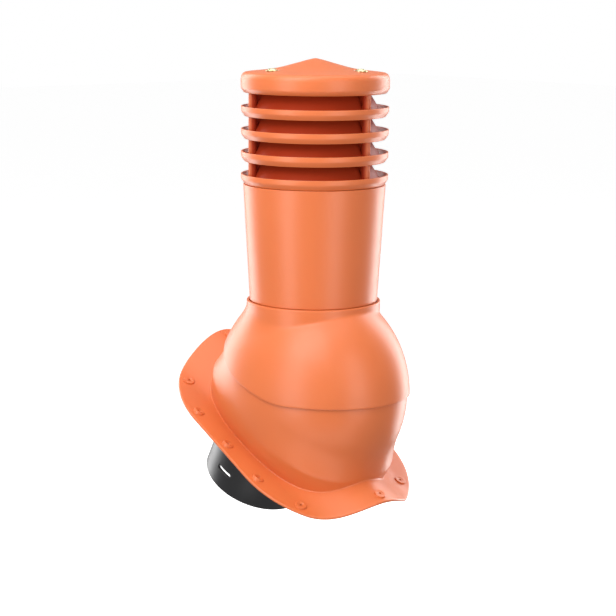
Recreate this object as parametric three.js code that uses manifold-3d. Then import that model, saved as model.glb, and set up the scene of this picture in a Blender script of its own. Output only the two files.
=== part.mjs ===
// Roof vent pipe: a louvred head on a tapered outer pipe, held upright by a round hood that
// pivots on the dome of an arched roof flange, with a round duct spigot below. Millimetres.
// +X points down the roof slope, +Y across it and +Z up along the pipe.
import * as THREE from 'three';
import { mergeVertices } from 'three/addons/utils/BufferGeometryUtils.js';
import Module from 'manifold-3d';

const wasm = await Module();
wasm.setup();

// Common sizes
const GAP = 0.3;
const WALL = 3;
const REACH = 200;
const ROUND_STEPS = 30;
const RING_STEPS = 24;
const BOSS_STEPS = 8;
const SMALL_STEPS = 6;

// Heights are measured from the top rim of the hood's neck, on the pipe's axis
const NECK_RADIUS = 76.1;
const NECK_BORE = 73.1;
const NECK_ROOT = -63;
const DOME_HEIGHT = -103;
const DOME_RADIUS = 122.5;
const DOME_HALF_WIDTH = 100;
const HOOD_WALL = 2;
const DOME_CLEARANCE = 0.9;
const BASE_INSET = HOOD_WALL + DOME_CLEARANCE;
const DOME_STEPS = 32;
const DOME_SLICES = 12;

// The hood's lower edge: level in front, rising from a soft bend and more steeply at the back
const EDGE_BEND_FRONT = 58;
const EDGE_BEND_BACK = 22;
const EDGE_SLOPE = 0.29;
const EDGE_REAR_START = -10;
const EDGE_REAR_BEND = 0.002;
const REAR_STEP = 55;

// The base dome's hidden top rim, under the hood
const RIM_HEIGHT = 54;
const RIM_SLOPE = 0.287;

// Roof flange: a plate tilted to the roof pitch and arched over the crest of a tile wave
const ROOF_PITCH = THREE.MathUtils.degToRad(28);
const FLANGE_HEIGHT = -145;
const FLANGE_HALF_WIDTH = 111;
const FLANGE_HALF_LENGTH = 161.5;
const FLANGE_CENTRE = -21;
const FLANGE_CORNER = 110;
const FLANGE_MARGIN = 2;
const ARCH_DROP = 29.5;
const ARCH_REACH = 81;
const ARCH_STEPS = 13;

// The base's wall below the dome's centre: its ends flare and square off towards the flange
const DOME_OUT = (DOME_HEIGHT - FLANGE_HEIGHT) * Math.cos(ROOF_PITCH);
const WALL_FLARE = 4.7;
const WALL_SQUARENESS = 0.3;

// Fixing bosses round the flange
const BOSS_INSET = 12;
const BOSS_RADIUS = 7;
const BOSS_HEIGHT = 1.8;
const BOSS_SPACING = 60;
const BOSS_TURN = THREE.MathUtils.degToRad(39);
const SCREW_HOLE_RADIUS = 1.6;

// Duct spigot, square to the flange
const SPIGOT_RADIUS = 62.5;
const SPIGOT_CENTRE = -49;
const SPIGOT_BOTTOM = -122.5;
const SPIGOT_TOP = 18;
const FLOOR_TOP = -6;
const SLOT_FROM_END = 24;
const SLOT_HEIGHT = 5;
const SLOT_ARC = THREE.MathUtils.degToRad(20);
const SLOT_ANGLE = THREE.MathUtils.degToRad(274);

// Louvre head
const RING_COUNT = 4;
const RING_PITCH = 25.2;
const RING_TOP = 219.3;
const RING_RADIUS = 82.9;
const RING_BAND = 11.2;
const RING_SHOULDER = 3.9;
const RING_UNDERCUT = 3.9;
const LIP_WALL = 2.2;
const GUTTER_DEPTH = 8.4;
const GUTTER_INSET = 5;
const CONE_FOOT_RADIUS = 75.9;
const CONE_TOP_RADIUS = 61;
const CONE_TOP = 15;
const POST_RADIUS = 4.9;
const POST_CIRCLE = 73.2;
const FIN_WALL = 2.2;
const FIN_ROOT = 0.6;
const LUG_CIRCLE = 56.3;
const LUG_RADIUS = 4.5;
const LUG_BOTTOM = 4;
const LUG_HOLE = 2;
const SPOKES = 3;
const VIEW_TURN = 42;
const POST_ANGLE = THREE.MathUtils.degToRad(-VIEW_TURN - 70);
const SCREW_ANGLE = THREE.MathUtils.degToRad(-VIEW_TURN - 57.2);

// Outer pipe: one taper from under the lowest louvre ring into the neck
const PIPE_TOP = RING_TOP - (RING_COUNT - 1) * RING_PITCH - RING_BAND - GAP;
const PIPE_TOP_RADIUS = 80.3;
const PIPE_END_RADIUS = 71.4;
const PIPE_DEPTH = 22;

// Cap, with its own heights from its bottom edge
const CAP_BOTTOM = 234.3;
const CAP_RADIUS = 83.3;
const CAP_LIP_RADIUS = 70;
const CAP_PEAK = 37.9;
const CAP_SEAT = 24.2;
const SEAT_RADIUS = 8.3;
const SEAT_WALL = 2;
const SEAT_FLOOR = 2.5;
const HEAD_RADIUS = 7.2;
const SHANK_RADIUS = 1.7;
const SCREW_LENGTH = 30;
const SCREW_TIP = 3;

// Where the roof meets the flange's crest, in front of the dome
const MOUNT_ALONG = 114;

// Materials
const terracotta = new THREE.MeshStandardMaterial({ color: 0xdb6a3e, roughness: 0.42, metalness: 0 });
const deepTerracotta = new THREE.MeshStandardMaterial({ color: 0xd0603a, roughness: 0.45, metalness: 0 });
const blackPlastic = new THREE.MeshStandardMaterial({ color: 0x1d1e20, roughness: 0.5, metalness: 0 });
const yellowZinc = new THREE.MeshStandardMaterial({ color: 0xd9c46a, roughness: 0.35, metalness: 0.9 });

// Turns a closed geometry into a solid that can be joined and cut
function solidOf(geometry) {
  geometry.deleteAttribute('normal');
  geometry.deleteAttribute('uv');
  const merged = mergeVertices(geometry, 1e-4);
  const index = merged.index.array;
  const triangles = [];
  for (let i = 0; i < index.length; i += 3) {
    const [a, b, c] = [index[i], index[i + 1], index[i + 2]];
    if (a !== b && b !== c && c !== a) triangles.push(a, b, c);
  }
  const build = () => new wasm.Manifold(new wasm.Mesh({
    numProp: 3,
    vertProperties: new Float32Array(merged.attributes.position.array),
    triVerts: new Uint32Array(triangles),
  }));
  const solid = build();
  if (solid.volume() > 0) return solid;
  for (let i = 0; i < triangles.length; i += 3) {
    [triangles[i], triangles[i + 1]] = [triangles[i + 1], triangles[i]];
  }
  return build();
}

function meshOf(name, solid, material) {
  const data = solid.getMesh();
  const geometry = new THREE.BufferGeometry();
  geometry.setAttribute('position', new THREE.BufferAttribute(new Float32Array(data.vertProperties), 3));
  geometry.setIndex(new THREE.BufferAttribute(new Uint32Array(data.triVerts), 1));
  geometry.computeVertexNormals();
  const mesh = new THREE.Mesh(geometry, material);
  mesh.name = name;
  return mesh;
}

// A solid turned about the vertical axis from [radius, height] points
function turned(points, steps) {
  const profile = points.map(([radius, height]) => new THREE.Vector2(radius, height));
  return solidOf(new THREE.LatheGeometry(profile, steps).rotateX(Math.PI / 2));
}

// A closed ring: its [radius, height] outline returns to its first point
function turnedRing(points, steps) {
  return turned([...points, points[0]], steps);
}

function cylinder(radius, bottom, top, x, y, steps) {
  const geometry = new THREE.CylinderGeometry(radius, radius, top - bottom, steps);
  geometry.rotateX(Math.PI / 2).translate(x, y, (top + bottom) / 2);
  return solidOf(geometry);
}

// A dome solid, round about the Y axis through the dome's centre and turned about it
function domeSolid(radius, halfWidth, turn) {
  const profile = [];
  for (let i = 0; i <= DOME_SLICES; i += 1) {
    const angle = (i / DOME_SLICES - 0.5) * Math.PI;
    const onAxis = i === 0 || i === DOME_SLICES;
    profile.push(new THREE.Vector2(onAxis ? 0 : radius * Math.cos(angle), halfWidth * Math.sin(angle)));
  }
  const geometry = new THREE.LatheGeometry(profile, DOME_STEPS);
  return solidOf(geometry.rotateY(turn).translate(0, 0, DOME_HEIGHT));
}

// A convex solid through level rings of equal length, in the flange's tilt about the dome's centre
function ringedSolid(rings) {
  const count = rings[0].length;
  const index = [];
  for (let level = 0; level + 1 < rings.length; level += 1) {
    for (let i = 0; i < count; i += 1) {
      const [here, next] = [level * count + i, level * count + ((i + 1) % count)];
      index.push(here, here + count, next, next, here + count, next + count);
    }
  }
  const last = (rings.length - 1) * count;
  for (let i = 1; i + 1 < count; i += 1) index.push(0, i, i + 1, last, last + i + 1, last + i);
  const geometry = new THREE.BufferGeometry();
  geometry.setAttribute('position', new THREE.Float32BufferAttribute(rings.flat(2), 3));
  geometry.setIndex(index);
  return solidOf(geometry.rotateY(ROOF_PITCH).translate(0, 0, DOME_HEIGHT));
}

// The base's round body: a dome, and below its centre a wall that narrows only across the slope
function baseBody(inset) {
  const [length, width] = [DOME_RADIUS - inset, DOME_HALF_WIDTH - inset];
  const bottom = DOME_OUT + ARCH_DROP + 2 * WALL;
  const depths = [0, 0.5 * DOME_OUT, DOME_OUT, (DOME_OUT + bottom) / 2, bottom];
  const rings = depths.map((depth) => {
    const share = Math.min(depth / DOME_OUT, 1) ** 2;
    const power = 2 / (2 + WALL_SQUARENESS * share);
    const halfWidth = width * Math.sqrt(1 - (depth / length) ** 2);
    const ring = [];
    for (let i = 0; i < 2 * DOME_SLICES; i += 1) {
      const [x, y] = [Math.cos((i * Math.PI) / DOME_SLICES), Math.sin((i * Math.PI) / DOME_SLICES)];
      const along = (length + WALL_FLARE * share) * Math.sign(x) * Math.abs(x) ** power;
      ring.push([along, halfWidth * Math.sign(y) * Math.abs(y) ** power, -depth]);
    }
    return ring;
  });
  return domeSolid(length, width, ROOF_PITCH).add(ringedSolid(rings));
}

// A prism along Y from [x, z] points measured from the dome's centre
function sidePrism(points) {
  const shape = new THREE.Shape(points.map(([x, z]) => new THREE.Vector2(x, z)));
  const geometry = new THREE.ExtrudeGeometry(shape, { depth: 2 * REACH, bevelEnabled: false });
  geometry.rotateX(Math.PI / 2).translate(0, REACH, DOME_HEIGHT);
  return solidOf(geometry);
}

// Moves a geometry made in the flange's own frame, X down the slope, Y across and Z out of the roof
function ontoRoof(geometry) {
  return geometry.rotateY(ROOF_PITCH).translate(0, 0, FLANGE_HEIGHT);
}

function archHeight(across) {
  const reach = Math.min(Math.abs(across), ARCH_REACH);
  return (ARCH_DROP * (Math.cos(Math.PI * reach / ARCH_REACH) - 1)) / 2;
}

function archSlope(across) {
  const bend = Math.PI / ARCH_REACH;
  return (-ARCH_DROP * bend * Math.sin(bend * across)) / 2;
}

// The arched sheet between two heights above its middle surface, over the whole flange's length
function archSheet(low, high) {
  const lower = [];
  const upper = [];
  for (let i = 0; i <= ARCH_STEPS; i += 1) {
    const across = (2 * i / ARCH_STEPS - 1) * (FLANGE_HALF_WIDTH + FLANGE_MARGIN);
    lower.push(new THREE.Vector2(across, archHeight(across) + low));
    upper.unshift(new THREE.Vector2(across, archHeight(across) + high));
  }
  const sheet = new THREE.Shape([...lower, ...upper]);
  const geometry = new THREE.ExtrudeGeometry(sheet, { depth: 2 * REACH, bevelEnabled: false });
  // The outline's own X runs across the roof and its Y out of it
  geometry.applyMatrix4(new THREE.Matrix4().set(
    0, 0, 1, FLANGE_CENTRE - REACH,
    1, 0, 0, 0,
    0, 1, 0, 0,
    0, 0, 0, 1,
  ));
  return solidOf(ontoRoof(geometry));
}

function flangeOutline() {
  const x = FLANGE_HALF_LENGTH - FLANGE_CORNER;
  const y = FLANGE_HALF_WIDTH - FLANGE_CORNER;
  const shape = new THREE.Shape();
  shape.absarc(FLANGE_CENTRE + x, y, FLANGE_CORNER, 0, Math.PI / 2);
  shape.absarc(FLANGE_CENTRE - x, y, FLANGE_CORNER, Math.PI / 2, Math.PI);
  shape.absarc(FLANGE_CENTRE - x, -y, FLANGE_CORNER, Math.PI, 1.5 * Math.PI);
  shape.absarc(FLANGE_CENTRE + x, -y, FLANGE_CORNER, 1.5 * Math.PI, 2 * Math.PI);
  shape.closePath();
  const geometry = new THREE.ExtrudeGeometry(shape, { depth: REACH, bevelEnabled: false, curveSegments: 6 });
  return solidOf(ontoRoof(geometry.translate(0, 0, -REACH / 2)));
}

// Places of the twelve fixing bosses: [down the slope, across]
function bossPlaces() {
  const end = FLANGE_HALF_LENGTH - BOSS_INSET;
  const side = FLANGE_HALF_WIDTH - BOSS_INSET;
  const corner = FLANGE_CORNER - BOSS_INSET;
  const cornerX = FLANGE_HALF_LENGTH - FLANGE_CORNER + corner * Math.sin(BOSS_TURN);
  const cornerY = FLANGE_HALF_WIDTH - FLANGE_CORNER + corner * Math.cos(BOSS_TURN);
  const places = [[end, 0], [-end, 0]];
  for (const across of [-1, 1]) {
    for (const along of [-1, 0, 1]) places.push([along * BOSS_SPACING, across * side]);
    for (const along of [-1, 1]) places.push([along * cornerX, across * cornerY]);
  }
  return places.map(([x, y]) => [x + FLANGE_CENTRE, y]);
}

// An upright cylinder on the arched flange, square to its surface there
function onArch(radius, low, high, [along, across], steps) {
  const geometry = new THREE.CylinderGeometry(radius, radius, high - low, steps);
  geometry.rotateX(Math.PI / 2).translate(0, 0, (low + high) / 2);
  geometry.rotateX(Math.atan(archSlope(across)));
  geometry.translate(along, across, archHeight(across));
  return solidOf(ontoRoof(geometry));
}

function makeBase() {
  const belowRim = sidePrism([
    [-REACH, -REACH],
    [REACH, -REACH],
    [REACH, RIM_HEIGHT - RIM_SLOPE * REACH],
    [-REACH, RIM_HEIGHT + RIM_SLOPE * REACH],
  ]);
  const body = baseBody(BASE_INSET).intersect(archSheet(-WALL, REACH)).intersect(belowRim);
  const holeReach = 4 * WALL;
  let base = archSheet(-WALL, 0).intersect(flangeOutline()).add(body);
  for (const place of bossPlaces()) {
    base = base.add(onArch(BOSS_RADIUS, -1, BOSS_HEIGHT, place, BOSS_STEPS));
    base = base.subtract(onArch(SCREW_HOLE_RADIUS, -holeReach, holeReach, place, SMALL_STEPS));
  }
  return base.subtract(baseBody(BASE_INSET + WALL));
}

function edgeHeight(x) {
  const bend = EDGE_BEND_FRONT - EDGE_BEND_BACK;
  if (x >= EDGE_BEND_FRONT) return 0;
  if (x >= EDGE_BEND_BACK) return (EDGE_SLOPE * (EDGE_BEND_FRONT - x) ** 2) / (2 * bend);
  const rear = Math.max(EDGE_REAR_START - x, 0);
  return EDGE_SLOPE * (EDGE_BEND_FRONT - bend / 2 - x) + EDGE_REAR_BEND * rear ** 2;
}

function makeHood() {
  const dome = domeSolid(DOME_RADIUS, DOME_HALF_WIDTH, 0);
  const cavity = domeSolid(DOME_RADIUS - HOOD_WALL, DOME_HALF_WIDTH - HOOD_WALL, 0);
  const neck = cylinder(NECK_RADIUS, NECK_ROOT, 0, 0, 0, ROUND_STEPS);
  const bore = cylinder(NECK_BORE, DOME_HEIGHT, NECK_BORE, 0, 0, ROUND_STEPS);
  const edge = [-REACH];
  for (let i = 2; i >= 0; i -= 1) edge.push(EDGE_REAR_START - i * REAR_STEP);
  for (let i = 0; i <= 3; i += 1) edge.push(EDGE_BEND_BACK + (i * (EDGE_BEND_FRONT - EDGE_BEND_BACK)) / 3);
  const aboveEdge = sidePrism([
    [REACH, 0],
    [REACH, REACH],
    [-REACH, REACH],
    ...edge.map((x) => [x, edgeHeight(x)]),
  ]);
  return dome.intersect(aboveEdge).add(neck).subtract(cavity).subtract(bore);
}

function makeSpigot() {
  const plate = new THREE.BoxGeometry(2 * REACH, 2 * REACH, WALL);
  const floorSlab = solidOf(ontoRoof(plate.translate(0, 0, FLOOR_TOP - WALL / 2)));
  const floor = baseBody(BASE_INSET + WALL + GAP).intersect(floorSlab);
  const tube = (radius, low, high) => {
    const geometry = new THREE.CylinderGeometry(radius, radius, high - low, ROUND_STEPS);
    geometry.rotateX(Math.PI / 2).translate(SPIGOT_CENTRE, 0, (low + high) / 2);
    return solidOf(ontoRoof(geometry));
  };
  const spigot = floor.add(tube(SPIGOT_RADIUS, SPIGOT_BOTTOM, SPIGOT_TOP));
  const bore = tube(SPIGOT_RADIUS - WALL, SPIGOT_BOTTOM - WALL, SPIGOT_TOP + WALL);
  const slotLength = 2 * SPIGOT_RADIUS * Math.sin(SLOT_ARC / 2);
  const slot = new THREE.BoxGeometry(4 * WALL, slotLength, SLOT_HEIGHT);
  slot.translate(SPIGOT_RADIUS - WALL, 0, 0).rotateZ(SLOT_ANGLE);
  slot.translate(SPIGOT_CENTRE, 0, SPIGOT_BOTTOM + SLOT_FROM_END);
  return spigot.subtract(bore).subtract(solidOf(ontoRoof(slot)));
}

function makePipe() {
  return turnedRing([
    [PIPE_TOP_RADIUS, PIPE_TOP],
    [PIPE_END_RADIUS, -PIPE_DEPTH],
    [PIPE_END_RADIUS - WALL, -PIPE_DEPTH],
    [PIPE_TOP_RADIUS - WALL, PIPE_TOP - WALL],
    [PIPE_TOP_RADIUS - 2 * WALL, PIPE_TOP - WALL],
    [PIPE_TOP_RADIUS - 2 * WALL, PIPE_TOP],
  ], ROUND_STEPS);
}

// The thin triangular web between a post and the cone
function finSolid(postTop, angle) {
  const rise = (postTop + GUTTER_DEPTH) / (CONE_TOP + GUTTER_DEPTH);
  const root = CONE_FOOT_RADIUS - FIN_ROOT;
  const fin = new THREE.Shape([
    new THREE.Vector2(root, -GUTTER_DEPTH),
    new THREE.Vector2(POST_CIRCLE, postTop),
    new THREE.Vector2(root - (CONE_FOOT_RADIUS - CONE_TOP_RADIUS) * rise, postTop),
  ]);
  const geometry = new THREE.ExtrudeGeometry(fin, { depth: FIN_WALL, bevelEnabled: false });
  return solidOf(geometry.translate(0, 0, -FIN_WALL / 2).rotateX(Math.PI / 2).rotateZ(angle));
}

// One louvre: an outer lip and gutter, an inner cone and three posts with fins. The top one has
// posts up to the cap and three screw lugs. Heights are from the lip's top.
function makeLouvre(isTop) {
  let ring = turnedRing([
    [RING_RADIUS, 0],
    [RING_RADIUS, -RING_SHOULDER],
    [RING_RADIUS - RING_UNDERCUT, -RING_BAND],
    [CONE_FOOT_RADIUS - LIP_WALL, -RING_BAND],
    [CONE_TOP_RADIUS - LIP_WALL, CONE_TOP],
    [CONE_TOP_RADIUS, CONE_TOP],
    [CONE_FOOT_RADIUS, -GUTTER_DEPTH],
    [RING_RADIUS - GUTTER_INSET, -GUTTER_DEPTH],
    [RING_RADIUS - LIP_WALL, 0],
  ], RING_STEPS);
  const postTop = (isTop ? CAP_BOTTOM - RING_TOP : RING_PITCH - RING_BAND) - GAP;
  const postBottom = -(GUTTER_DEPTH + RING_BAND) / 2;
  for (let i = 0; i < SPOKES; i += 1) {
    const turn = (i * 2 * Math.PI) / SPOKES;
    const post = POST_ANGLE + turn;
    const [x, y] = [POST_CIRCLE * Math.cos(post), POST_CIRCLE * Math.sin(post)];
    ring = ring.add(cylinder(POST_RADIUS, postBottom, postTop, x, y, SMALL_STEPS));
    ring = ring.add(finSolid(postTop, post));
    if (!isTop) continue;
    const [lugX, lugY] = lugPlace(turn);
    ring = ring.add(cylinder(LUG_RADIUS, LUG_BOTTOM, CONE_TOP, lugX, lugY, SMALL_STEPS));
    ring = ring.subtract(cylinder(LUG_HOLE, LUG_BOTTOM - 1, CONE_TOP + 1, lugX, lugY, SMALL_STEPS));
  }
  return ring;
}

function lugPlace(turn) {
  return [LUG_CIRCLE * Math.cos(SCREW_ANGLE + turn), LUG_CIRCLE * Math.sin(SCREW_ANGLE + turn)];
}

// The cap: a hollow shell with three screw bosses, each with a sunk seat in the cap's top
function makeCap() {
  const rim = CAP_RADIUS;
  const outer = turned([
    [0, 0],
    [rim - 3.4, 0],
    [rim, 5.6],
    [rim, 15.5],
    [rim - 4.8, 22.4],
    [44, 26.6],
    [0, CAP_PEAK],
  ], ROUND_STEPS);
  let hollow = turned([
    [0, -1],
    [CAP_LIP_RADIUS, -1],
    [CAP_LIP_RADIUS, 2.6],
    [rim - 2.8, 5],
    [rim - 2.8, 15],
    [rim - 5.8, 19.6],
    [0, CAP_PEAK - 5],
  ], ROUND_STEPS);
  const bossBottom = RING_TOP + CONE_TOP + GAP - CAP_BOTTOM;
  const places = [];
  for (let i = 0; i < SPOKES; i += 1) places.push(lugPlace((i * 2 * Math.PI) / SPOKES));
  for (const [x, y] of places) {
    hollow = hollow.subtract(cylinder(LUG_RADIUS, bossBottom, CAP_PEAK, x, y, SMALL_STEPS));
    const cup = cylinder(SEAT_RADIUS + SEAT_WALL, CAP_SEAT - SEAT_FLOOR, CAP_PEAK, x, y, BOSS_STEPS);
    hollow = hollow.subtract(cup);
  }
  let cap = outer.subtract(hollow);
  for (const [x, y] of places) {
    cap = cap.subtract(cylinder(SEAT_RADIUS, CAP_SEAT, CAP_PEAK, x, y, BOSS_STEPS));
    cap = cap.subtract(cylinder(LUG_HOLE, bossBottom - 1, CAP_PEAK, x, y, SMALL_STEPS));
  }
  return cap;
}

// A screw with a washer head, from the underside of its head
function makeScrew() {
  return turned([
    [0, -SCREW_LENGTH],
    [SHANK_RADIUS, SCREW_TIP - SCREW_LENGTH],
    [SHANK_RADIUS, 0],
    [HEAD_RADIUS, 0],
    [HEAD_RADIUS, 1],
    [4.8, 2.4],
    [0, 3],
  ], BOSS_STEPS);
}

const part = new THREE.Group();
part.add(meshOf('base', makeBase(), terracotta));
part.add(meshOf('duct_spigot', makeSpigot(), blackPlastic));
part.add(meshOf('hood', makeHood(), terracotta));
part.add(meshOf('outer_pipe', makePipe(), terracotta));

for (let i = 0; i < RING_COUNT; i += 1) {
  const louvre = meshOf(`louvre_ring_${i + 1}`, makeLouvre(i === 0), deepTerracotta);
  louvre.position.z = RING_TOP - i * RING_PITCH;
  part.add(louvre);
}

const cap = meshOf('cap', makeCap(), terracotta);
cap.position.z = CAP_BOTTOM;
part.add(cap);

for (let i = 0; i < SPOKES; i += 1) {
  const screw = meshOf(`cap_screw_${i + 1}`, makeScrew(), yellowZinc);
  screw.position.set(...lugPlace((i * 2 * Math.PI) / SPOKES), CAP_BOTTOM + CAP_SEAT + GAP);
  part.add(screw);
}

// The origin is on the flange's underside, on the arch's crest in front of the dome
const crestFacetHeight = archHeight((FLANGE_HALF_WIDTH + FLANGE_MARGIN) / ARCH_STEPS);
const mount = new THREE.Vector3(MOUNT_ALONG, 0, crestFacetHeight - WALL);
mount.applyAxisAngle(new THREE.Vector3(0, 1, 0), ROOF_PITCH);
mount.z += FLANGE_HEIGHT;
const placed = new THREE.Group();
part.position.copy(mount).negate();
placed.add(part);

export default placed;
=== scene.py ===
from math import atan, atan2, cos, degrees, exp, hypot, pi, radians, sin, sqrt, tan

import bmesh
import bpy
from mathutils import Matrix, Vector


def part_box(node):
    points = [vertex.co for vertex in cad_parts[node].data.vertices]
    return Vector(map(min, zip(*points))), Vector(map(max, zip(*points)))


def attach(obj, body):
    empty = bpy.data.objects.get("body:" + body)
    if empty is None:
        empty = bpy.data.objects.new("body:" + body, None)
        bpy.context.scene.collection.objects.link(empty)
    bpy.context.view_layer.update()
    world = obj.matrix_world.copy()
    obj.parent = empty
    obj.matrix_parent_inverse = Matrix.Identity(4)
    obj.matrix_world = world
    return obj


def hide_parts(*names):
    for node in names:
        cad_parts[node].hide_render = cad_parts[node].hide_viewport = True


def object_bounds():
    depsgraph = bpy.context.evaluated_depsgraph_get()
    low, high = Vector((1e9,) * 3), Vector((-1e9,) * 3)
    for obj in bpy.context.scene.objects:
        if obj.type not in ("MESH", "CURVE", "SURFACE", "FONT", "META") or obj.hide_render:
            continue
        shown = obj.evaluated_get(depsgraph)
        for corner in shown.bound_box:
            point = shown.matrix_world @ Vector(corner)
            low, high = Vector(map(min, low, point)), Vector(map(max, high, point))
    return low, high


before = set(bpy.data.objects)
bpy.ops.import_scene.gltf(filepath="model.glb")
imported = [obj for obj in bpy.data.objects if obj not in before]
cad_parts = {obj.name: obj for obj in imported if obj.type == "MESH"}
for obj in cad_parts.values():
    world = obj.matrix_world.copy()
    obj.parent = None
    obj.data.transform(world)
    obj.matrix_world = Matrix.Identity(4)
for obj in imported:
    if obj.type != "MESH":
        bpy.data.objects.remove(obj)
cad_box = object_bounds()

# Sizes are in millimetres, in the pipe's own frame: its origin is on the pipe's axis at the
# neck's top rim, +X points down the roof slope, +Y across it and +Z up along the pipe.
MM = 0.001
WALL = 3.0
ROOF_PITCH = radians(28)

NECK_RADIUS = 76.1
NECK_BORE = 73.1
DOME_HEIGHT = -103.0
DOME_RADIUS = 122.5
DOME_HALF_WIDTH = 100.0
HOOD_WALL = 2.0
DOME_CLEARANCE = 0.9
BASE_INSET = HOOD_WALL + DOME_CLEARANCE

# The hood's lower edge: level in front, rising from a soft bend and more steeply at the back
EDGE_BEND_FRONT = 58.0
EDGE_BEND_BACK = 22.0
EDGE_SLOPE = 0.29
EDGE_REAR_START = -10.0
EDGE_REAR_BEND = 0.002
SEAM_STEPS = 30
SEAM_PULL = 0.6

# The fold between the hood's neck and dome: sharp on the downslope side and soft on the other,
# changing between two angles from the downslope direction, in degrees
FOLD_SHARP = 1.2
FOLD_SOFT = 13
FOLD_CHANGE = (58, 120)

# The base dome's hidden top rim, under the hood
RIM_HEIGHT = 54.0
RIM_SLOPE = 0.287

FLANGE_HEIGHT = -145.0
FLANGE_HALF_WIDTH = 111.0
FLANGE_HALF_LENGTH = 161.5
FLANGE_CENTRE = -21.0
FLANGE_CORNER = 110.0
ARCH_DROP = 29.5
ARCH_REACH = 81.0

# The base's wall below the dome's centre: its ends flare and square off towards the flange
WALL_FLARE = 4.7
WALL_SQUARENESS = 0.3
WALL_FILLET = 1.6
LEAST_NARROWING = 0.0001

# The dome's centre in the flange's frame
DOME_ALONG = -(DOME_HEIGHT - FLANGE_HEIGHT) * sin(ROOF_PITCH)
DOME_OUT = (DOME_HEIGHT - FLANGE_HEIGHT) * cos(ROOF_PITCH)

# How far the searches for the outline, the wall's foot and its rim go
OUTLINE_SEARCH = 400.0
FOOT_SEARCH = (-45, 25)
RIM_SEARCH = (0, DOME_OUT + 0.9 * DOME_RADIUS)
HALVINGS = 40

BOSS_INSET = 12.0
BOSS_RADIUS = 7.0
BOSS_HEIGHT = 1.8
BOSS_SPACING = 60.0
BOSS_TURN = radians(39)
BOSS_ROOT = -2.5
BOSS_RECESS = 0.5
SCREW_HOLE_RADIUS = 1.6
SCREW_HOLE_REACH = 12

SPIGOT_RADIUS = 62.5
SPIGOT_CENTRE = -49.0
SPIGOT_BOTTOM = -122.5
SPIGOT_TOP = 18.0
FLOOR_TOP = -6.0
FLOOR_ROOT = 1
SLOT_FROM_END = 24.0
SLOT_HEIGHT = 5.0
SLOT_ARC = radians(20)
SLOT_ANGLE = radians(274)

RING_COUNT = 4
RING_PITCH = 25.2
RING_TOP = 219.3
RING_RADIUS = 82.9
RING_BAND = 11.2
RING_UNDERCUT = 3.9
LIP_WALL = 2.2
GUTTER = -8.4
GUTTER_INSET = 5.0
CONE_FOOT_RADIUS = 75.9
CONE_TOP_RADIUS = 61.0
CONE_TOP = 15.0
POST_RADIUS = 4.9
POST_CIRCLE = 73.2
POST_ROOT = 1
GROOVE_DEPTH = 1.3
GROOVE_WIDTH = 0.24
FIN_WALL = 2.2
FIN_ROOT = 0.6
LUG_CIRCLE = 56.3
LUG_RADIUS = 4.5
LUG_BOTTOM = 4.0
LUG_HOLE = 2.0
SPOKES = 3

# The photo is taken from this many degrees round the pipe, from its downslope side. A post and a
# screw are that much further round.
VIEW_TURN = 42.0
POST_FROM_VIEW = 70
SCREW_FROM_VIEW = 57.2
POST_ANGLE = radians(-VIEW_TURN - POST_FROM_VIEW)
SCREW_ANGLE = radians(-VIEW_TURN - SCREW_FROM_VIEW)

# The space between parts that touch on the real object
GAP = 0.3

PIPE_TOP = RING_TOP - (RING_COUNT - 1) * RING_PITCH - RING_BAND - GAP
PIPE_TOP_RADIUS = 80.3
PIPE_END_RADIUS = 71.4
PIPE_DEPTH = 22.0

CAP_BOTTOM = 234.3
CAP_RADIUS = 83.3
CAP_SEAT = 24.2
SEAT_RADIUS = 8.3
SEAT_SLOPE = 0.5
SEAT_CUT = 40
SEAT_WALL = 2

# Steps round the turned parts that show most
TURN_STEPS = 192

# Edges sharper than this are shaded sharp, and points closer than this, in metres, are merged
SHARP_ANGLE = radians(40)
MERGE_DISTANCE = 1e-6

# The largest share of a side that a rounded corner takes
CORNER_SHARE = 0.48

# The pipe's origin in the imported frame, from the pipe's axis and the hood's top
_, hood_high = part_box("hood")
pipe_low, pipe_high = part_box("outer_pipe")
PIPE_ORIGIN = Vector(((pipe_low.x + pipe_high.x) / 2, 0, hood_high.z))


def placed(x, y, z):
    return PIPE_ORIGIN + Vector((x, y, z)) * MM


def from_roof(along, across, out):
    """A point of the flange's frame, down the slope, across it and out of the roof."""
    x = along * cos(ROOF_PITCH) + out * sin(ROOF_PITCH)
    z = -along * sin(ROOF_PITCH) + out * cos(ROOF_PITCH) + FLANGE_HEIGHT
    return x, across, z


def mix(a, b, share):
    return a + (b - a) * share


def smooth_step(low, high, value):
    share = min(max((value - low) / (high - low), 0), 1)
    return share * share * (3 - 2 * share)


def mesh_piece(name, points, faces):
    """A new object from points in millimetres, with its faces turned outwards."""
    mesh = bpy.data.meshes.new(name)
    mesh.from_pydata([placed(*point) for point in points], [], faces)
    work = bmesh.new()
    work.from_mesh(mesh)
    bmesh.ops.remove_doubles(work, verts=work.verts, dist=MERGE_DISTANCE)
    bmesh.ops.recalc_face_normals(work, faces=work.faces)
    work.to_mesh(mesh)
    work.free()
    mesh.shade_smooth()
    mesh.set_sharp_from_angle(angle=SHARP_ANGLE)
    piece = bpy.data.objects.new(name, mesh)
    bpy.context.collection.objects.link(piece)
    return piece


def loft(rings, closed=True):
    """Points and faces of a band through rings of equal length; each ring closes on itself."""
    count = len(rings[0])
    points = [point for ring in rings for point in ring]
    faces = []
    last = len(rings) if closed else len(rings) - 1
    for i in range(last):
        here, there = i * count, ((i + 1) % len(rings)) * count
        for j in range(count):
            k = (j + 1) % count
            faces.append((here + j, here + k, there + k, there + j))
    return points, faces


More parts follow.
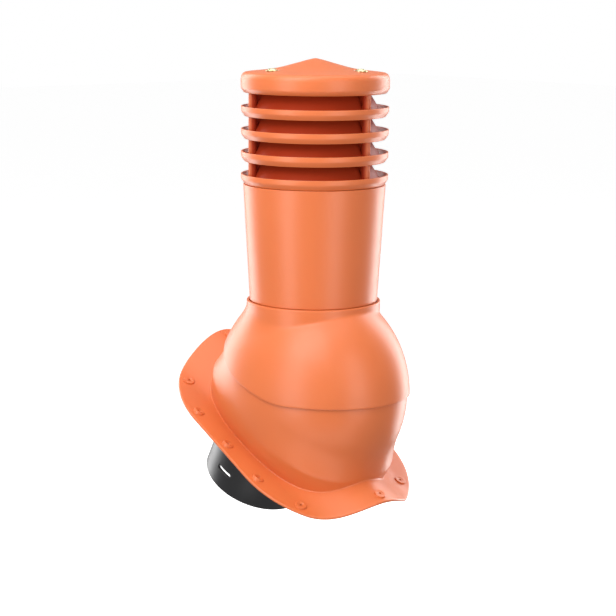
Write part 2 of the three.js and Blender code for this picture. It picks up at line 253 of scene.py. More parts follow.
def rounded(corners, steps=5):
    """A closed outline from (x, y, radius) corners, each one turned into an arc."""
    outline = []
    count = len(corners)
    for i, (x, y, radius) in enumerate(corners):
        corner = Vector((x, y))
        before = Vector(corners[i - 1][:2]) - corner
        after = Vector(corners[(i + 1) % count][:2]) - corner
        if radius <= 0:
            outline.append((x, y))
            continue
        turn = before.angle(after)
        reach = min(radius / tan(turn / 2), before.length * CORNER_SHARE, after.length * CORNER_SHARE)
        start, end = corner + before.normalized() * reach, corner + after.normalized() * reach
        for k in range(steps + 1):
            t = k / steps
            point = start * (1 - t) ** 2 + corner * 2 * t * (1 - t) + end * t * t
            outline.append((point.x, point.y))
    return outline


def turned(outline, steps, centre=(0, 0), height=0.0):
    """A ring turned from a closed (radius, height) outline."""
    rings = []
    for i in range(steps):
        angle = 2 * pi * i / steps
        ring = []
        for radius, z in outline:
            ring.append((centre[0] + radius * cos(angle), centre[1] + radius * sin(angle), z + height))
        rings.append(ring)
    return loft(rings)


def turned_solid(outline, steps, centre=(0, 0), height=0.0):
    """A solid turned from a (radius, height) line that starts and ends on the axis."""
    points = [(centre[0], centre[1], outline[0][1] + height)]
    points.append((centre[0], centre[1], outline[-1][1] + height))
    inner = outline[1:-1]
    faces = []
    for radius, z in inner:
        for i in range(steps):
            angle = 2 * pi * i / steps
            points.append((centre[0] + radius * cos(angle), centre[1] + radius * sin(angle), z + height))
    for i in range(steps):
        k = (i + 1) % steps
        faces.append((0, 2 + k, 2 + i))
        top = 2 + (len(inner) - 1) * steps
        faces.append((1, top + i, top + k))
        for level in range(len(inner) - 1):
            here, there = 2 + level * steps, 2 + (level + 1) * steps
            faces.append((here + i, here + k, there + k, there + i))
    return points, faces


def tube_outline(inner, outer, low, high):
    return [(inner, low), (outer, low), (outer, high), (inner, high)]


def spun(x, y, turn):
    return x * cos(turn) - y * sin(turn), x * sin(turn) + y * cos(turn)


def joined(parts):
    """One list of points and faces from several."""
    points, faces = [], []
    for more_points, more_faces in parts:
        start = len(points)
        points += more_points
        faces += [tuple(start + i for i in face) for face in more_faces]
    return points, faces


def moved(part, place):
    points, faces = part
    return [place(*point) for point in points], faces


# Hood

def dome_reach(azimuth, height, radius, half_width):
    """How far the dome's surface is from the pipe's axis, that way and at that height."""
    share = (cos(azimuth) / radius) ** 2 + (sin(azimuth) / half_width) ** 2
    return sqrt(max(0, 1 - (height / radius) ** 2) / share)


def smooth_larger(a, b, blend):
    """The larger of two lengths, rounded over where they are nearly equal."""
    overlap = max(blend - abs(a - b), 0) / blend
    return max(a, b) + overlap * overlap * blend / 4


def edge_height(x):
    """The hood's lower edge, above the dome's centre: level in front, rising to the back."""
    bend = EDGE_BEND_FRONT - EDGE_BEND_BACK
    if x >= EDGE_BEND_FRONT:
        return 0.0
    if x >= EDGE_BEND_BACK:
        return EDGE_SLOPE * (EDGE_BEND_FRONT - x) ** 2 / (2 * bend)
    rear = max(EDGE_REAR_START - x, 0)
    return EDGE_SLOPE * (EDGE_BEND_FRONT - bend / 2 - x) + EDGE_REAR_BEND * rear ** 2


def edge_at(azimuth, radius, half_width):
    """The lower edge's height that way, found by stepping towards it."""
    height = 0.0
    for _ in range(SEAM_STEPS):
        reach = dome_reach(azimuth, height, radius, half_width)
        height = mix(height, edge_height(reach * cos(azimuth)), SEAM_PULL)
    return height


def make_hood():
    azimuths, levels = 240, 64
    lip, bore_edge, inner_stop = 0.9, 0.5, 6
    lip_corner = 0.3 * lip
    neck_top = -DOME_HEIGHT
    rings = []
    for i in range(azimuths):
        azimuth = 2 * pi * i / azimuths
        away = abs(degrees(atan2(sin(azimuth), cos(azimuth))))
        blend = mix(FOLD_SHARP, FOLD_SOFT, smooth_step(*FOLD_CHANGE, away))
        low = edge_at(azimuth, DOME_RADIUS, DOME_HALF_WIDTH)
        profile = []
        for level in range(levels + 1):
            z = mix(low + lip, neck_top - lip, level / levels)
            reach = dome_reach(azimuth, z, DOME_RADIUS, DOME_HALF_WIDTH)
            profile.append((smooth_larger(reach, NECK_RADIUS, blend), z))
        profile.append((NECK_RADIUS - lip_corner, neck_top - lip_corner))
        profile.append((NECK_RADIUS - lip, neck_top))
        profile.append((NECK_BORE + bore_edge, neck_top))
        profile.append((NECK_BORE, neck_top - bore_edge))
        for level in range(levels, -1, -1):
            z = mix(low + lip, neck_top - inner_stop, level / levels)
            reach = dome_reach(azimuth, z, DOME_RADIUS - HOOD_WALL, DOME_HALF_WIDTH - HOOD_WALL)
            profile.append((smooth_larger(reach, NECK_BORE, blend), z))
        inner = profile[-1][0]
        outer = profile[0][0]
        profile.append((inner + lip_corner, low + lip_corner))
        profile.append((inner + lip, low))
        profile.append((outer - lip, low))
        profile.append((outer - lip_corner, low + lip_corner))
        rings.append([(r * cos(azimuth), r * sin(azimuth), z + DOME_HEIGHT) for r, z in profile])
    return mesh_piece("hood_shell", *loft(rings))


# Base

def arch_height(across):
    """The flange's top out of the roof: highest along its middle, level beyond the arch."""
    reach = min(abs(across), ARCH_REACH)
    return ARCH_DROP * (cos(pi * reach / ARCH_REACH) - 1) / 2


def arch_slope(across):
    return -ARCH_DROP * pi / ARCH_REACH * sin(pi * across / ARCH_REACH) / 2


def outline_reach(direction):
    """From the dome's centre to the flange's rounded outline, along a direction in its plane."""
    low, high = 0.0, OUTLINE_SEARCH
    for _ in range(HALVINGS):
        middle = (low + high) / 2
        x = abs(DOME_ALONG + middle * cos(direction) - FLANGE_CENTRE)
        y = abs(middle * sin(direction))
        x = x - (FLANGE_HALF_LENGTH - FLANGE_CORNER)
        y = y - (FLANGE_HALF_WIDTH - FLANGE_CORNER)
        outside = hypot(max(x, 0), max(y, 0)) + min(max(x, y), 0) - FLANGE_CORNER
        if outside > 0:
            high = middle
        else:
            low = middle
    return low


def solve(function, low, high):
    """Where a rising function crosses zero."""
    for _ in range(HALVINGS):
        middle = (low + high) / 2
        if function(middle) > 0:
            high = middle
        else:
            low = middle
    return (low + high) / 2


def wall_reach(direction, out, shrink):
    """From the dome's centre line to the base's outer surface, that way and that far out of the
    roof: a spheroid above its centre, and below it a wall that narrows only across the slope."""
    length = DOME_RADIUS - BASE_INSET - shrink
    width = DOME_HALF_WIDTH - BASE_INSET - shrink
    depth = DOME_OUT - out
    narrowed = sqrt(max(1 - (depth / length) ** 2, LEAST_NARROWING))
    share = min(max(depth, 0) / DOME_OUT, 1) ** 2
    along = length + WALL_FLARE * share if depth > 0 else length * narrowed
    power = 2 + WALL_SQUARENESS * share
    across = width * narrowed
    total = (abs(cos(direction)) / along) ** power + (abs(sin(direction)) / across) ** power
    return total ** (-1 / power)


def wall_foot(direction, shrink, drop):
    """Where the wall meets the arch, or a surface that far below it."""
    def height(out):
        reach = wall_reach(direction, out, shrink)
        return out - arch_height(reach * sin(direction)) + drop
    return solve(height, *FOOT_SEARCH)


def wall_rim(direction, shrink):
    """Where the wall meets the plane of the base's top rim."""
    def height(out):
        along, up = wall_reach(direction, out, shrink) * cos(direction), out - DOME_OUT
        x = along * cos(ROOF_PITCH) + up * sin(ROOF_PITCH)
        z = -along * sin(ROOF_PITCH) + up * cos(ROOF_PITCH)
        return z + RIM_SLOPE * x - RIM_HEIGHT
    return solve(height, *RIM_SEARCH)


def base_profile(direction):
    """The base's half section, as (reach, out): down its outside, out along the flange and back."""
    wall_steps, fillet_steps, flange_steps = 44, 8, 24
    top_steps, under_steps = 5, 4
    top_edge, under_edge, rim_edge = 1.3, 0.8, 0.5
    across = sin(direction)
    foot, rim = wall_foot(direction, 0, 0), wall_rim(direction, 0)
    start = foot + WALL_FILLET
    profile = []
    for i in range(wall_steps + 1):
        out = mix(rim - rim_edge, start, i / wall_steps)
        profile.append((wall_reach(direction, out, 0), out))
    first = profile[-1]
    corner = (wall_reach(direction, foot, 0), foot)
    tangent = corner[0] + WALL_FILLET
    end = (tangent, arch_height(tangent * across))
    for i in range(1, fillet_steps + 1):
        t = i / fillet_steps
        a, b, c = (1 - t) ** 2, 2 * t * (1 - t), t * t
        profile.append(tuple(a * first[k] + b * corner[k] + c * end[k] for k in (0, 1)))
    last = outline_reach(direction)
    for i in range(1, flange_steps + 1):
        reach = mix(tangent, last - top_edge, i / flange_steps)
        profile.append((reach, arch_height(reach * across)))
    for i in range(1, top_steps + 1):
        turn = pi / 2 * i / top_steps
        reach = last - top_edge + top_edge * sin(turn)
        profile.append((reach, arch_height(reach * across) - top_edge + top_edge * cos(turn)))
    for i in range(under_steps + 1):
        turn = pi / 2 * i / under_steps
        reach = last - under_edge + under_edge * cos(turn)
        out = arch_height(reach * across) - WALL + under_edge - under_edge * sin(turn)
        profile.append((reach, out))
    inner_foot = wall_foot(direction, WALL, WALL)
    inner_reach = wall_reach(direction, inner_foot, WALL)
    for i in range(1, flange_steps + 1):
        reach = mix(last - under_edge, inner_reach, i / flange_steps)
        profile.append((reach, arch_height(reach * across) - WALL))
    inner_rim = wall_rim(direction, WALL)
    for i in range(1, wall_steps + 1):
        out = mix(inner_foot, inner_rim - rim_edge, i / wall_steps)
        profile.append((wall_reach(direction, out, WALL), out))
    return profile


def boss_places():
    end = FLANGE_HALF_LENGTH - BOSS_INSET
    side = FLANGE_HALF_WIDTH - BOSS_INSET
    corner = FLANGE_CORNER - BOSS_INSET
    corner_x = FLANGE_HALF_LENGTH - FLANGE_CORNER + corner * sin(BOSS_TURN)
    corner_y = FLANGE_HALF_WIDTH - FLANGE_CORNER + corner * cos(BOSS_TURN)
    places = [(end, 0), (-end, 0)]
    for hand in (-1, 1):
        places += [(along * BOSS_SPACING, hand * side) for along in (-1, 0, 1)]
        places += [(along * corner_x, hand * corner_y) for along in (-1, 1)]
    return [(x + FLANGE_CENTRE, y) for x, y in places]


def on_arch(part, along, across):
    """Stands a part, made round the Z axis, on the flange's arched top."""
    lean = atan(arch_slope(across))

    def place(x, y, z):
        return from_roof(
            along + x,
            across + y * cos(lean) - z * sin(lean),
            arch_height(across) + y * sin(lean) + z * cos(lean),
        )
    return moved(part, place)


def cut(piece, tools):
    """Cuts solids, given as points and faces, out of a piece."""
    tool = mesh_piece("cutter", *joined(tools))
    change = piece.modifiers.new("cut", "BOOLEAN")
    change.operation, change.solver, change.object = "DIFFERENCE", "EXACT", tool
    with bpy.context.temp_override(object=piece, active_object=piece):
        bpy.ops.object.modifier_apply(modifier="cut")
    bpy.data.objects.remove(tool)


def make_base():
    directions, hole_steps, boss_steps = 288, 20, 40
    rings = []
    for i in range(directions):
        direction = 2 * pi * i / directions
        ring = []
        for reach, out in base_profile(direction):
            along = DOME_ALONG + reach * cos(direction)
            ring.append(from_roof(along, reach * sin(direction), out))
        rings.append(ring)
    base = mesh_piece("base_shell", *loft(rings))
    hole = tube_outline(0, SCREW_HOLE_RADIUS, -SCREW_HOLE_REACH, SCREW_HOLE_REACH)
    cut(base, [on_arch(turned_solid(hole, hole_steps), *place) for place in boss_places()])
    boss = rounded([
        (SCREW_HOLE_RADIUS, BOSS_ROOT, 0),
        (SCREW_HOLE_RADIUS, BOSS_HEIGHT - BOSS_RECESS, 0.5),
        (3.2, BOSS_HEIGHT - BOSS_RECESS, 0.2),
        (3.8, BOSS_HEIGHT, 0.3),
        (BOSS_RADIUS - 0.4, BOSS_HEIGHT, 0.4),
        (BOSS_RADIUS, BOSS_ROOT, 0),
    ], 4)
    bosses = joined([on_arch(turned(boss, boss_steps), *place) for place in boss_places()])
    return base, mesh_piece("fixing_bosses", *bosses)


# Spigot and pipe

def make_spigot():
    steps, slot_steps, edge = 160, 24, 0.8
    inner = SPIGOT_RADIUS - WALL
    slot_middle = SPIGOT_BOTTOM + SLOT_FROM_END
    # Levels just above and below the slot keep the shading even where it is cut
    levels = [slot_middle + SLOT_HEIGHT * share for share in (-0.7, 0.7)]
    wall = rounded(
        [(SPIGOT_RADIUS, SPIGOT_BOTTOM, edge)]
        + [(SPIGOT_RADIUS, level, 0) for level in levels]
        + [(SPIGOT_RADIUS, SPIGOT_TOP, edge), (inner, SPIGOT_TOP, edge)]
        + [(inner, level, 0) for level in reversed(levels)]
        + [(inner, SPIGOT_BOTTOM, edge)],
        4,
    )
    tube = moved(turned(wall, steps), lambda x, y, z: from_roof(x + SPIGOT_CENTRE, y, z))
    spigot = mesh_piece("spigot_tube", *tube)
    half = SPIGOT_RADIUS * sin(SLOT_ARC / 2)
    flat = half - SLOT_HEIGHT / 2
    side = Vector((-sin(SLOT_ANGLE), cos(SLOT_ANGLE)))
    out = Vector((cos(SLOT_ANGLE), sin(SLOT_ANGLE)))
    centre = out * inner
    rings = []
    for depth in (-2 * WALL, 2 * WALL):
        ring = []
        for k in range(slot_steps):
            turn = 2 * pi * k / slot_steps
            slide = SLOT_HEIGHT / 2 * cos(turn) + (flat if cos(turn) >= 0 else -flat)
            rise = SLOT_HEIGHT / 2 * sin(turn)
            spot = centre + out * depth + side * slide
            ring.append(from_roof(SPIGOT_CENTRE + spot.x, spot.y, slot_middle + rise))
        rings.append(ring)
    points, faces = loft(rings, closed=False)
    faces += [tuple(range(slot_steps)), tuple(range(slot_steps, 2 * slot_steps))]
    cut(spigot, [(points, faces)])
    # The floor plate reaches from inside the tube's wall to just inside the base's
    plate = []
    root = SPIGOT_RADIUS - FLOOR_ROOT
    for out_height in (FLOOR_TOP, FLOOR_TOP - WALL):
        outer_ring, inner_ring = [], []
        for i in range(steps):
            angle = 2 * pi * i / steps
            reach = wall_reach(angle, out_height, WALL + 2 * GAP)
            rim = (DOME_ALONG + reach * cos(angle), reach * sin(angle))
            outer_ring.append(from_roof(*rim, out_height))
            towards = atan2(rim[1], rim[0] - SPIGOT_CENTRE)
            x, y = SPIGOT_CENTRE + root * cos(towards), root * sin(towards)
            inner_ring.append(from_roof(x, y, out_height))
        plate += [outer_ring, inner_ring] if out_height == FLOOR_TOP else [inner_ring, outer_ring]
    return spigot, mesh_piece("spigot_floor", *loft(plate))


def make_pipe():
    # A small step where the pipe enters the neck leaves the dark line of the joint
    taper = (PIPE_TOP_RADIUS - PIPE_END_RADIUS) / (PIPE_TOP + PIPE_DEPTH)
    foot_height, step = 0.8, 0.9
    top_edge, end_edge, inner_edge = 0.8, 0.6, 0.5
    foot = PIPE_END_RADIUS + taper * (PIPE_DEPTH + foot_height)
    outline = rounded([
        (PIPE_TOP_RADIUS, PIPE_TOP, top_edge),
        (foot, foot_height, 0.3),
        (foot - step, 0.2, 0.2),
        (PIPE_END_RADIUS, -PIPE_DEPTH, end_edge),
        (PIPE_END_RADIUS - WALL, -PIPE_DEPTH, end_edge),
        (PIPE_TOP_RADIUS - WALL, PIPE_TOP - WALL, 0),
        (PIPE_TOP_RADIUS - 2 * WALL, PIPE_TOP - WALL, inner_edge),
        (PIPE_TOP_RADIUS - 2 * WALL, PIPE_TOP, inner_edge),
    ])
    return mesh_piece("pipe_wall", *turned(outline, TURN_STEPS))


# Louvres

def lug_spot(spoke):
    """The axis of a cap screw, with the lug below it."""
    angle = SCREW_ANGLE + spoke * 2 * pi / SPOKES
    return LUG_CIRCLE * cos(angle), LUG_CIRCLE * sin(angle)


def louvre_parts(index):
    top = RING_TOP - index * RING_PITCH
    lip_edge, belly_edge, bottom_edge, foot_edge, cone_edge = 0.7, 4, 1.2, 0.8, 0.6
    outline = rounded([
        (RING_RADIUS, 0, lip_edge),
        (RING_RADIUS, -0.5 * RING_BAND, belly_edge),
        (RING_RADIUS - RING_UNDERCUT, -RING_BAND, bottom_edge),
        (CONE_FOOT_RADIUS - LIP_WALL, -RING_BAND, foot_edge),
        (CONE_TOP_RADIUS - LIP_WALL, CONE_TOP, cone_edge),
        (CONE_TOP_RADIUS, CONE_TOP, cone_edge),
        (CONE_FOOT_RADIUS, GUTTER, foot_edge),
        (RING_RADIUS - GUTTER_INSET, GUTTER, foot_edge),
        (RING_RADIUS - LIP_WALL, 0, lip_edge),
    ])
    parts = [turned(outline, TURN_STEPS, height=top)]
    room = CAP_BOTTOM - RING_TOP if index == 0 else RING_PITCH - RING_BAND
    post_top = room - GAP
    for spoke in range(SPOKES):
        turn = POST_ANGLE + spoke * 2 * pi / SPOKES
        parts.append(post_part(turn, top, post_top))
        parts.append(fin_part(turn, top, post_top))
        if index == 0:
            lug = tube_outline(LUG_HOLE, LUG_RADIUS, LUG_BOTTOM, CONE_TOP)
            parts.append(turned(lug, 24, lug_spot(spoke), top))
    return parts


def post_part(turn, top, post_top):
    """A round post with a groove down its outer side."""
    steps = 48
    rings = []
    for z in (GUTTER - POST_ROOT, post_top):
        ring = []
        for k in range(steps):
            angle = 2 * pi * k / steps
            groove = GROOVE_DEPTH * exp(-(sin(angle) / GROOVE_WIDTH) ** 2) if cos(angle) > 0 else 0
            radius = POST_RADIUS - groove
            x = POST_CIRCLE + radius * cos(angle)
            y = radius * sin(angle)
            ring.append((*spun(x, y, turn), z + top))
        rings.append(ring)
    points, faces = loft(rings, closed=False)
    return points, faces + [tuple(range(steps)), tuple(range(steps, 2 * steps))]


def fin_part(turn, top, post_top):
    """The thin triangular web between a post and the cone."""
    root = CONE_FOOT_RADIUS - FIN_ROOT
    lean = (CONE_FOOT_RADIUS - CONE_TOP_RADIUS) / (CONE_TOP - GUTTER)
    side = [(root, GUTTER), (POST_CIRCLE, post_top), (root - lean * (post_top - GUTTER), post_top)]
    points = []
    for y in (-FIN_WALL / 2, FIN_WALL / 2):
        for x, z in side:
            points.append((*spun(x, y, turn), z + top))
    faces = [(0, 1, 2), (5, 4, 3), (0, 3, 4, 1), (1, 4, 5, 2), (2, 5, 3, 0)]
    return points, faces


def make_louvre(index):
    return mesh_piece(f"louvre_{index + 1}", *joined(louvre_parts(index)))


# Cap and screws

def make_cap():
    rim = CAP_RADIUS
    # From the axis out along the underside, round the rim and back along the top
    outline = [
        (0, 32.6), (20, 28.3), (44, 23.4), (rim - 5.8, 19.4), (rim - 3.4, 17.6), (rim - 2.8, 15),
        (rim - 2.8, 2.9), (rim - 3.4, 2.6), (70.4, 2.6), (70, 2.2), (70, 0.4), (70.4, 0),
        (rim - 3.9, 0), (rim - 3.2, 0.3), (rim - 0.8, 3.9), (rim - 0.2, 5), (rim, 6.2),
        (rim, 15), (rim - 0.3, 17.2), (rim - 1.1, 19.3), (rim - 2.6, 21.1), (rim - 4.8, 22.2),
        (rim - 9, 22.8), (62, 24), (53, 25.1), (44, 26.6), (36, 28.4), (28, 30.6), (19, 33.1),
        (10, 35.7), (5, 36.9), (2, 37.6), (0, 37.8),
    ]
    cap = mesh_piece("cap_shell", *turned_solid(outline, TURN_STEPS, height=CAP_BOTTOM))
    for spoke in range(SPOKES):
        seat = [
            (0, CAP_SEAT),
            (SEAT_RADIUS - SEAT_SLOPE, CAP_SEAT),
            (SEAT_RADIUS + SEAT_SLOPE, SEAT_CUT),
            (0, SEAT_CUT),
        ]
        cut(cap, [turned_solid(seat, 64, lug_spot(spoke), CAP_BOTTOM)])
    return cap


def make_cap_bosses():
    """The tubes under the cap's screw seats."""
    bottom = RING_TOP + CONE_TOP + GAP - CAP_BOTTOM
    boss = tube_outline(LUG_HOLE, LUG_RADIUS, bottom, CAP_SEAT - SEAT_WALL)
    parts = [turned(boss, 32, lug_spot(spoke), CAP_BOTTOM) for spoke in range(SPOKES)]
    return mesh_piece("cap_bosses", *joined(parts))


def make_screw(index):
    spot = lug_spot(index)
    # From the point up the shank, over the washer and up the round head
    outline = [
        (0, -29.8), (1.7, -27), (1.7, 0), (6.9, 0), (7.1, 0.2), (7.1, 0.8), (6.9, 1), (5.4, 1.2),
        (4.9, 1.7), (4.2, 2.4), (3.1, 2.8), (1.6, 3), (0, 3),
    ]
    seat = CAP_BOTTOM + CAP_SEAT + GAP
    screw = mesh_piece(f"screw_{index + 1}", *turned_solid(outline, 48, spot, seat))
    cross_turn, long, wide = 0.4, 2.6, 0.5
    cross_bottom, above_head = 1.6, 6
    for turn in (cross_turn, cross_turn + pi / 2):
        points = []
        for z in (cross_bottom, above_head):
            for x, y in ((long, wide), (-long, wide), (-long, -wide), (long, -wide)):
                px = spot[0] + x * cos(turn) - y * sin(turn)
                py = spot[1] + x * sin(turn) + y * cos(turn)
                points.append((px, py, seat + z))
        faces = [(0, 1, 2, 3), (7, 6, 5, 4)]
        faces += [(k, 4 + k, 4 + (k + 1) % 4, (k + 1) % 4) for k in range(4)]
        cut(screw, [(points, faces)])
    return screw


# Materials

# Each plastic's two shades, the lowest and highest roughness and the strength of its fine grain
TERRACOTTA = ((0.62, 0.145, 0.041), (0.65, 0.153, 0.044))
TERRACOTTA_ROUGHNESS = (0.34, 0.42)
TERRACOTTA_GRAIN = 0.2
BLACK = ((0.010, 0.010, 0.011), (0.014, 0.014, 0.016))
BLACK_ROUGHNESS = (0.34, 0.44)
BLACK_GRAIN = 0.3
PLASTIC_IOR = 1.5
ZINC = ((0.90, 0.80, 0.42), (0.96, 0.90, 0.62))
ZINC_ROUGHNESS = (0.22, 0.38)
ZINC_GRAIN = 0.2

# Where the clouds of one shade give way to the other
CLOUD_EDGES = (0.35, 0.65)

# The depth in metres of the grain, and the strength and depth of the mould's slow waves
GRAIN_DEPTH = 0.0001
WAVE_STRENGTH = 0.12
WAVE_DEPTH = 0.0012

# A little light passes into the terracotta plastic
GLOW_WEIGHT = 0.08
GLOW_RADIUS = (1.0, 0.35, 0.15)
GLOW_SCALE = 0.004

# The louvre cones' painted shade, a deeper colour and lower shine standing in for the shade inside the
# rings, and the radii between which they change
CONE_PAINTED_SHADE_RED = (0.36, 0.035, 0.010, 1)
CONE_SHADED_SHINE = 0.08
FULL_SHINE = 0.5
FULL_SHADE_RADIUS = CONE_FOOT_RADIUS - 1
PLAIN_RADIUS = CONE_FOOT_RADIUS + 2.5


def nodes_of(name):
    material = bpy.data.materials.new(name)
    material.use_nodes = True
    tree = material.node_tree
    return material, tree, tree.nodes["Principled BSDF"]


def noise(tree, scale, detail):
    coordinates = tree.nodes.new("ShaderNodeTexCoord")
    texture = tree.nodes.new("ShaderNodeTexNoise")
    texture.inputs["Scale"].default_value = scale
    texture.inputs["Detail"].default_value = detail
    tree.links.new(coordinates.outputs["Object"], texture.inputs["Vector"])
    return texture.outputs["Fac"]


def blended_colour(tree, factor, shades):
    ramp = tree.nodes.new("ShaderNodeValToRGB")
    for element, position, shade in zip(ramp.color_ramp.elements, CLOUD_EDGES, shades):
        element.position = position
        element.color = (*shade, 1)
    tree.links.new(factor, ramp.inputs["Fac"])
    return ramp.outputs["Color"]


def spread(tree, factor, low, high):
    """A factor from 0 to 1 turned into a value from low to high."""
    span = tree.nodes.new("ShaderNodeMapRange")
    span.inputs["To Min"].default_value = low
    span.inputs["To Max"].default_value = high
    tree.links.new(factor, span.inputs["Value"])
    return span.outputs["Result"]


def bumped(tree, shader, heights):
    """Adds bumps, each given by its height, strength and depth, on top of one another."""
    normal = None
    for height, strength, distance in heights:
        bump = tree.nodes.new("ShaderNodeBump")
        bump.inputs["Strength"].default_value = strength
        bump.inputs["Distance"].default_value = distance
        tree.links.new(height, bump.inputs["Height"])
        if normal is not None:
            tree.links.new(normal, bump.inputs["Normal"])
        normal = bump.outputs["Normal"]
    tree.links.new(normal, shader.inputs["Normal"])


def plastic(name, shades, roughness, grain):
    material, tree, shader = nodes_of(name)
    cloud = noise(tree, 9, 3)
    fine = noise(tree, 900, 2)
    wave = noise(tree, 28, 2)
    tree.links.new(blended_colour(tree, cloud, shades), shader.inputs["Base Color"])
    tree.links.new(spread(tree, noise(tree, 60, 4), *roughness), shader.inputs["Roughness"])
    shader.inputs["IOR"].default_value = PLASTIC_IOR
    bumped(tree, shader, [(wave, WAVE_STRENGTH, WAVE_DEPTH), (fine, grain, GRAIN_DEPTH)])
    return material, tree, shader


def zinc():
    material, tree, shader = nodes_of("yellow_zinc")
    shader.inputs["Metallic"].default_value = 1.0
    cloud = noise(tree, 160, 3)
    tree.links.new(blended_colour(tree, cloud, ZINC), shader.inputs["Base Color"])
    tree.links.new(spread(tree, noise(tree, 500, 3), *ZINC_ROUGHNESS), shader.inputs["Roughness"])
    bumped(tree, shader, [(noise(tree, 1200, 2), ZINC_GRAIN, GRAIN_DEPTH)])
    return material


def paint(piece, material):
    piece.data.materials.clear()
    piece.data.materials.append(material)


def painted_inside_shade(tree, shader):
    """Painted shade: a deeper red and less shine towards the axis, on the cones inside the louvre rings,
    where shade falls.
    """
    outer = shader.inputs["Base Color"].links[0].from_socket
    coordinates = tree.nodes.new("ShaderNodeTexCoord")
    apart = tree.nodes.new("ShaderNodeVectorMath")
    apart.operation = "SUBTRACT"
    apart.inputs[1].default_value = PIPE_ORIGIN
    flat = tree.nodes.new("ShaderNodeVectorMath")
    flat.operation = "MULTIPLY"
    flat.inputs[1].default_value = (1, 1, 0)
    radius = tree.nodes.new("ShaderNodeVectorMath")
    radius.operation = "LENGTH"
    reach = tree.nodes.new("ShaderNodeMapRange")
    reach.inputs["From Min"].default_value = FULL_SHADE_RADIUS * MM
    reach.inputs["From Max"].default_value = PLAIN_RADIUS * MM
    blend = tree.nodes.new("ShaderNodeMix")
    blend.data_type = "RGBA"
    blend.inputs["A"].default_value = CONE_PAINTED_SHADE_RED
    tree.links.new(coordinates.outputs["Object"], apart.inputs[0])
    tree.links.new(apart.outputs["Vector"], flat.inputs[0])
    tree.links.new(flat.outputs["Vector"], radius.inputs[0])
    tree.links.new(radius.outputs["Value"], reach.inputs["Value"])
    tree.links.new(reach.outputs["Result"], blend.inputs["Factor"])
    tree.links.new(outer, blend.inputs["B"])
    tree.links.new(blend.outputs["Result"], shader.inputs["Base Color"])
    shine = spread(tree, reach.outputs["Result"], CONE_SHADED_SHINE, FULL_SHINE)
    tree.links.new(shine, shader.inputs["Specular IOR Level"])


def make_materials():
    look = (TERRACOTTA, TERRACOTTA_ROUGHNESS, TERRACOTTA_GRAIN)
    terracotta, _, shader = plastic("terracotta_plastic", *look)
    shader.inputs["Subsurface Weight"].default_value = GLOW_WEIGHT
    shader.inputs["Subsurface Radius"].default_value = GLOW_RADIUS
    shader.inputs["Subsurface Scale"].default_value = GLOW_SCALE
    black, _, _ = plastic("black_plastic", BLACK, BLACK_ROUGHNESS, BLACK_GRAIN)
    # This plastic carries painted shade: a deeper red and less shine on the cones inside the louvre
    # rings
    louvre_painted_shade_plastic, tree, shader = plastic("louvre_painted_shade_plastic", *look)
    painted_inside_shade(tree, shader)
    return terracotta, louvre_painted_shade_plastic, black, zinc()


# Studio

# How far the floor lies below the part and reaches to each side, in metres, and how it looks
FLOOR_DROP = 0.25
FLOOR_REACH = 12
FLOOR_WHITE = 0.92
FLOOR_ROUGHNESS = 0.9
FLOOR_GLOW = 0.6


def make_floor():
    low = cad_box[0].z - FLOOR_DROP
    signs = ((-1, -1), (1, -1), (1, 1), (-1, 1))
    corners = [(x * FLOOR_REACH, y * FLOOR_REACH, low) for x, y in signs]
    mesh = bpy.data.meshes.new("floor")
    mesh.from_pydata(corners, [], [(0, 1, 2, 3)])
    floor = bpy.data.objects.new("floor", mesh)
    bpy.context.collection.objects.link(floor)
    material, tree, shader = nodes_of("pale_floor")
    shader.inputs["Base Color"].default_value = (FLOOR_WHITE, FLOOR_WHITE, FLOOR_WHITE, 1)
    shader.inputs["Roughness"].default_value = FLOOR_ROUGHNESS
    shader.inputs["Emission Color"].default_value = (1, 1, 1, 1)
    shader.inputs["Emission Strength"].default_value = FLOOR_GLOW
    paint(floor, material)
    floor.visible_diffuse = False
    floor.visible_glossy = False


def area_light(name, place, target, size, power):
    data = bpy.data.lights.new(name, "AREA")
    data.shape = "RECTANGLE"
    data.size, data.size_y = size
    data.energy = power
    light = bpy.data.objects.new(name, data)
    light.location = place
    light.rotation_mode = "QUATERNION"
    light.rotation_quaternion = (Vector(target) - Vector(place)).to_track_quat("-Z", "Y")
    light.visible_camera = False
    bpy.context.collection.objects.link(light)


# The camera looks from the front right, a little from above. Its distances from the pipe's
# origin are in metres.
CAMERA_AZIMUTH = radians(48.02)
CAMERA_REACH = 1.924
CAMERA_ABOVE = 0.3431
CAMERA_TURN = radians(-0.18)
CAMERA_PITCH = radians(10.42)
CAMERA_ROLL = radians(0.48)
FRAME_PIXELS = 616
FOCAL_PIXELS = 1712
SENSOR_WIDTH = 36


def make_camera():
    """Adds the camera and returns the directions from the part towards it and to its right."""
    data = bpy.data.cameras.new("camera")
    data.sensor_width = SENSOR_WIDTH
    data.lens = data.sensor_width * FOCAL_PIXELS / FRAME_PIXELS
    camera = bpy.data.objects.new("camera", data)
    back = Vector((sin(CAMERA_AZIMUTH), -cos(CAMERA_AZIMUTH), 0))
    right = Vector((cos(CAMERA_AZIMUTH), sin(CAMERA_AZIMUTH), 0))
    camera.location = PIPE_ORIGIN + Vector((0, 0, CAMERA_ABOVE)) + back * CAMERA_REACH
    level = right * sin(CAMERA_TURN) - back * cos(CAMERA_TURN)
    look = level * cos(CAMERA_PITCH) - Vector((0, 0, 1)) * sin(CAMERA_PITCH)
    camera.rotation_mode = "QUATERNION"
    roll = Matrix.Rotation(CAMERA_ROLL, 3, "Z").to_quaternion()
    camera.rotation_quaternion = look.to_track_quat("-Z", "Y") @ roll
    bpy.context.collection.objects.link(camera)
    bpy.context.scene.camera = camera
    return back, right


# How bright the white room is to the part, where 1 is what the camera sees
ROOM_LIGHT = 0.42


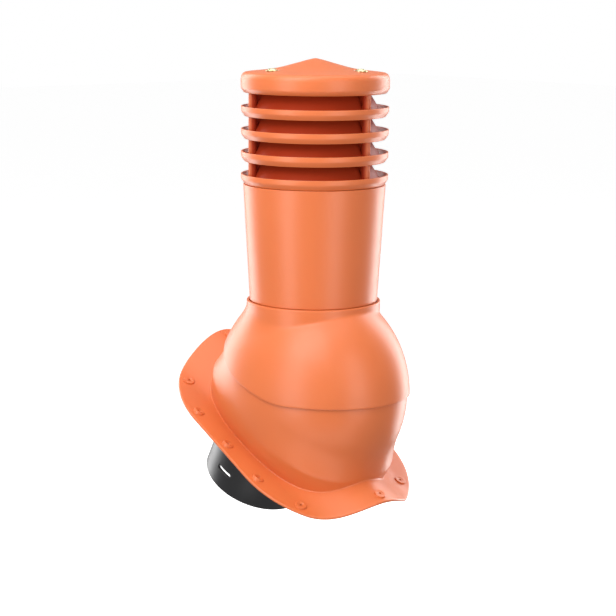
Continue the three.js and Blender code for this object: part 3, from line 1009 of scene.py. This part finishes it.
def make_world():
    """White behind the part, but a dimmer room around it."""
    world = bpy.data.worlds.new("studio")
    world.use_nodes = True
    tree = world.node_tree
    path = tree.nodes.new("ShaderNodeLightPath")
    level = tree.nodes.new("ShaderNodeMapRange")
    level.inputs["To Min"].default_value = ROOM_LIGHT
    level.inputs["To Max"].default_value = 1.0
    tree.links.new(path.outputs["Is Camera Ray"], level.inputs["Value"])
    tree.links.new(level.outputs["Result"], tree.nodes["Background"].inputs["Strength"])
    tree.nodes["Background"].inputs["Color"].default_value = (1, 1, 1, 1)
    bpy.context.scene.world = world
    bpy.context.scene.view_settings.view_transform = "Standard"


# Each light's angle from the camera's side in degrees, its distance and height in metres, its
# size in metres and its power in watts
LIGHTS = (
    ("left_strip", -42, 1.2, 0.1, (0.46, 1.5), 8),
    ("right_strip", 34, 1.2, 0.1, (0.5, 1.5), 6),
    ("left_rim", -132, 1.1, 0.1, (0.6, 1.7), 14),
    ("right_rim", 132, 1.1, 0.1, (0.6, 1.7), 16),
    ("key_softbox", -34, 1.1, 1.2, (1.2, 1.0), 17),
    ("overhead", 0, 0.1, 1.35, (1.3, 1.3), 9),
    ("low_softbox", -4, 0.9, -0.9, (1.4, 0.4), 5),
)
LIGHTS_ABOVE = 0.02


def make_lights(back, right):
    centre = PIPE_ORIGIN + Vector((0, 0, LIGHTS_ABOVE))
    for name, angle, distance, height, size, power in LIGHTS:
        turn = radians(angle)
        level = (back * cos(turn) + right * sin(turn)) * distance
        area_light(name, centre + level + Vector((0, 0, height)), centre, size, power)


back, right = make_camera()
make_world()
make_floor()
make_lights(back, right)
terracotta, louvre_painted_shade_plastic, black, yellow = make_materials()

hood = make_hood()
base, bosses = make_base()
spigot, spigot_floor = make_spigot()
pipe = make_pipe()
cap, cap_bosses = make_cap(), make_cap_bosses()
louvres = [make_louvre(i) for i in range(RING_COUNT)]
screws = [make_screw(i) for i in range(SPOKES)]

for piece, body, slot, material in (
    [(piece, "head", "terracotta", terracotta) for piece in (hood, pipe, cap, cap_bosses)]
    + [(piece, "head", "terracotta", louvre_painted_shade_plastic) for piece in louvres]
    + [(piece, "base", "terracotta", terracotta) for piece in (base, bosses)]
    + [(piece, "base", "black_plastic", black) for piece in (spigot, spigot_floor)]
    + [(piece, "head", "yellow_zinc", yellow) for piece in screws]
):
    paint(piece, material)
    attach(piece, body)

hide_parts("hood")
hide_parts("base")
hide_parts("duct_spigot")
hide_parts("outer_pipe")
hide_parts("cap")
for i, louvre in enumerate(louvres):
    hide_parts(f"louvre_ring_{i + 1}")
for i, screw in enumerate(screws):
    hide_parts(f"cap_screw_{i + 1}")
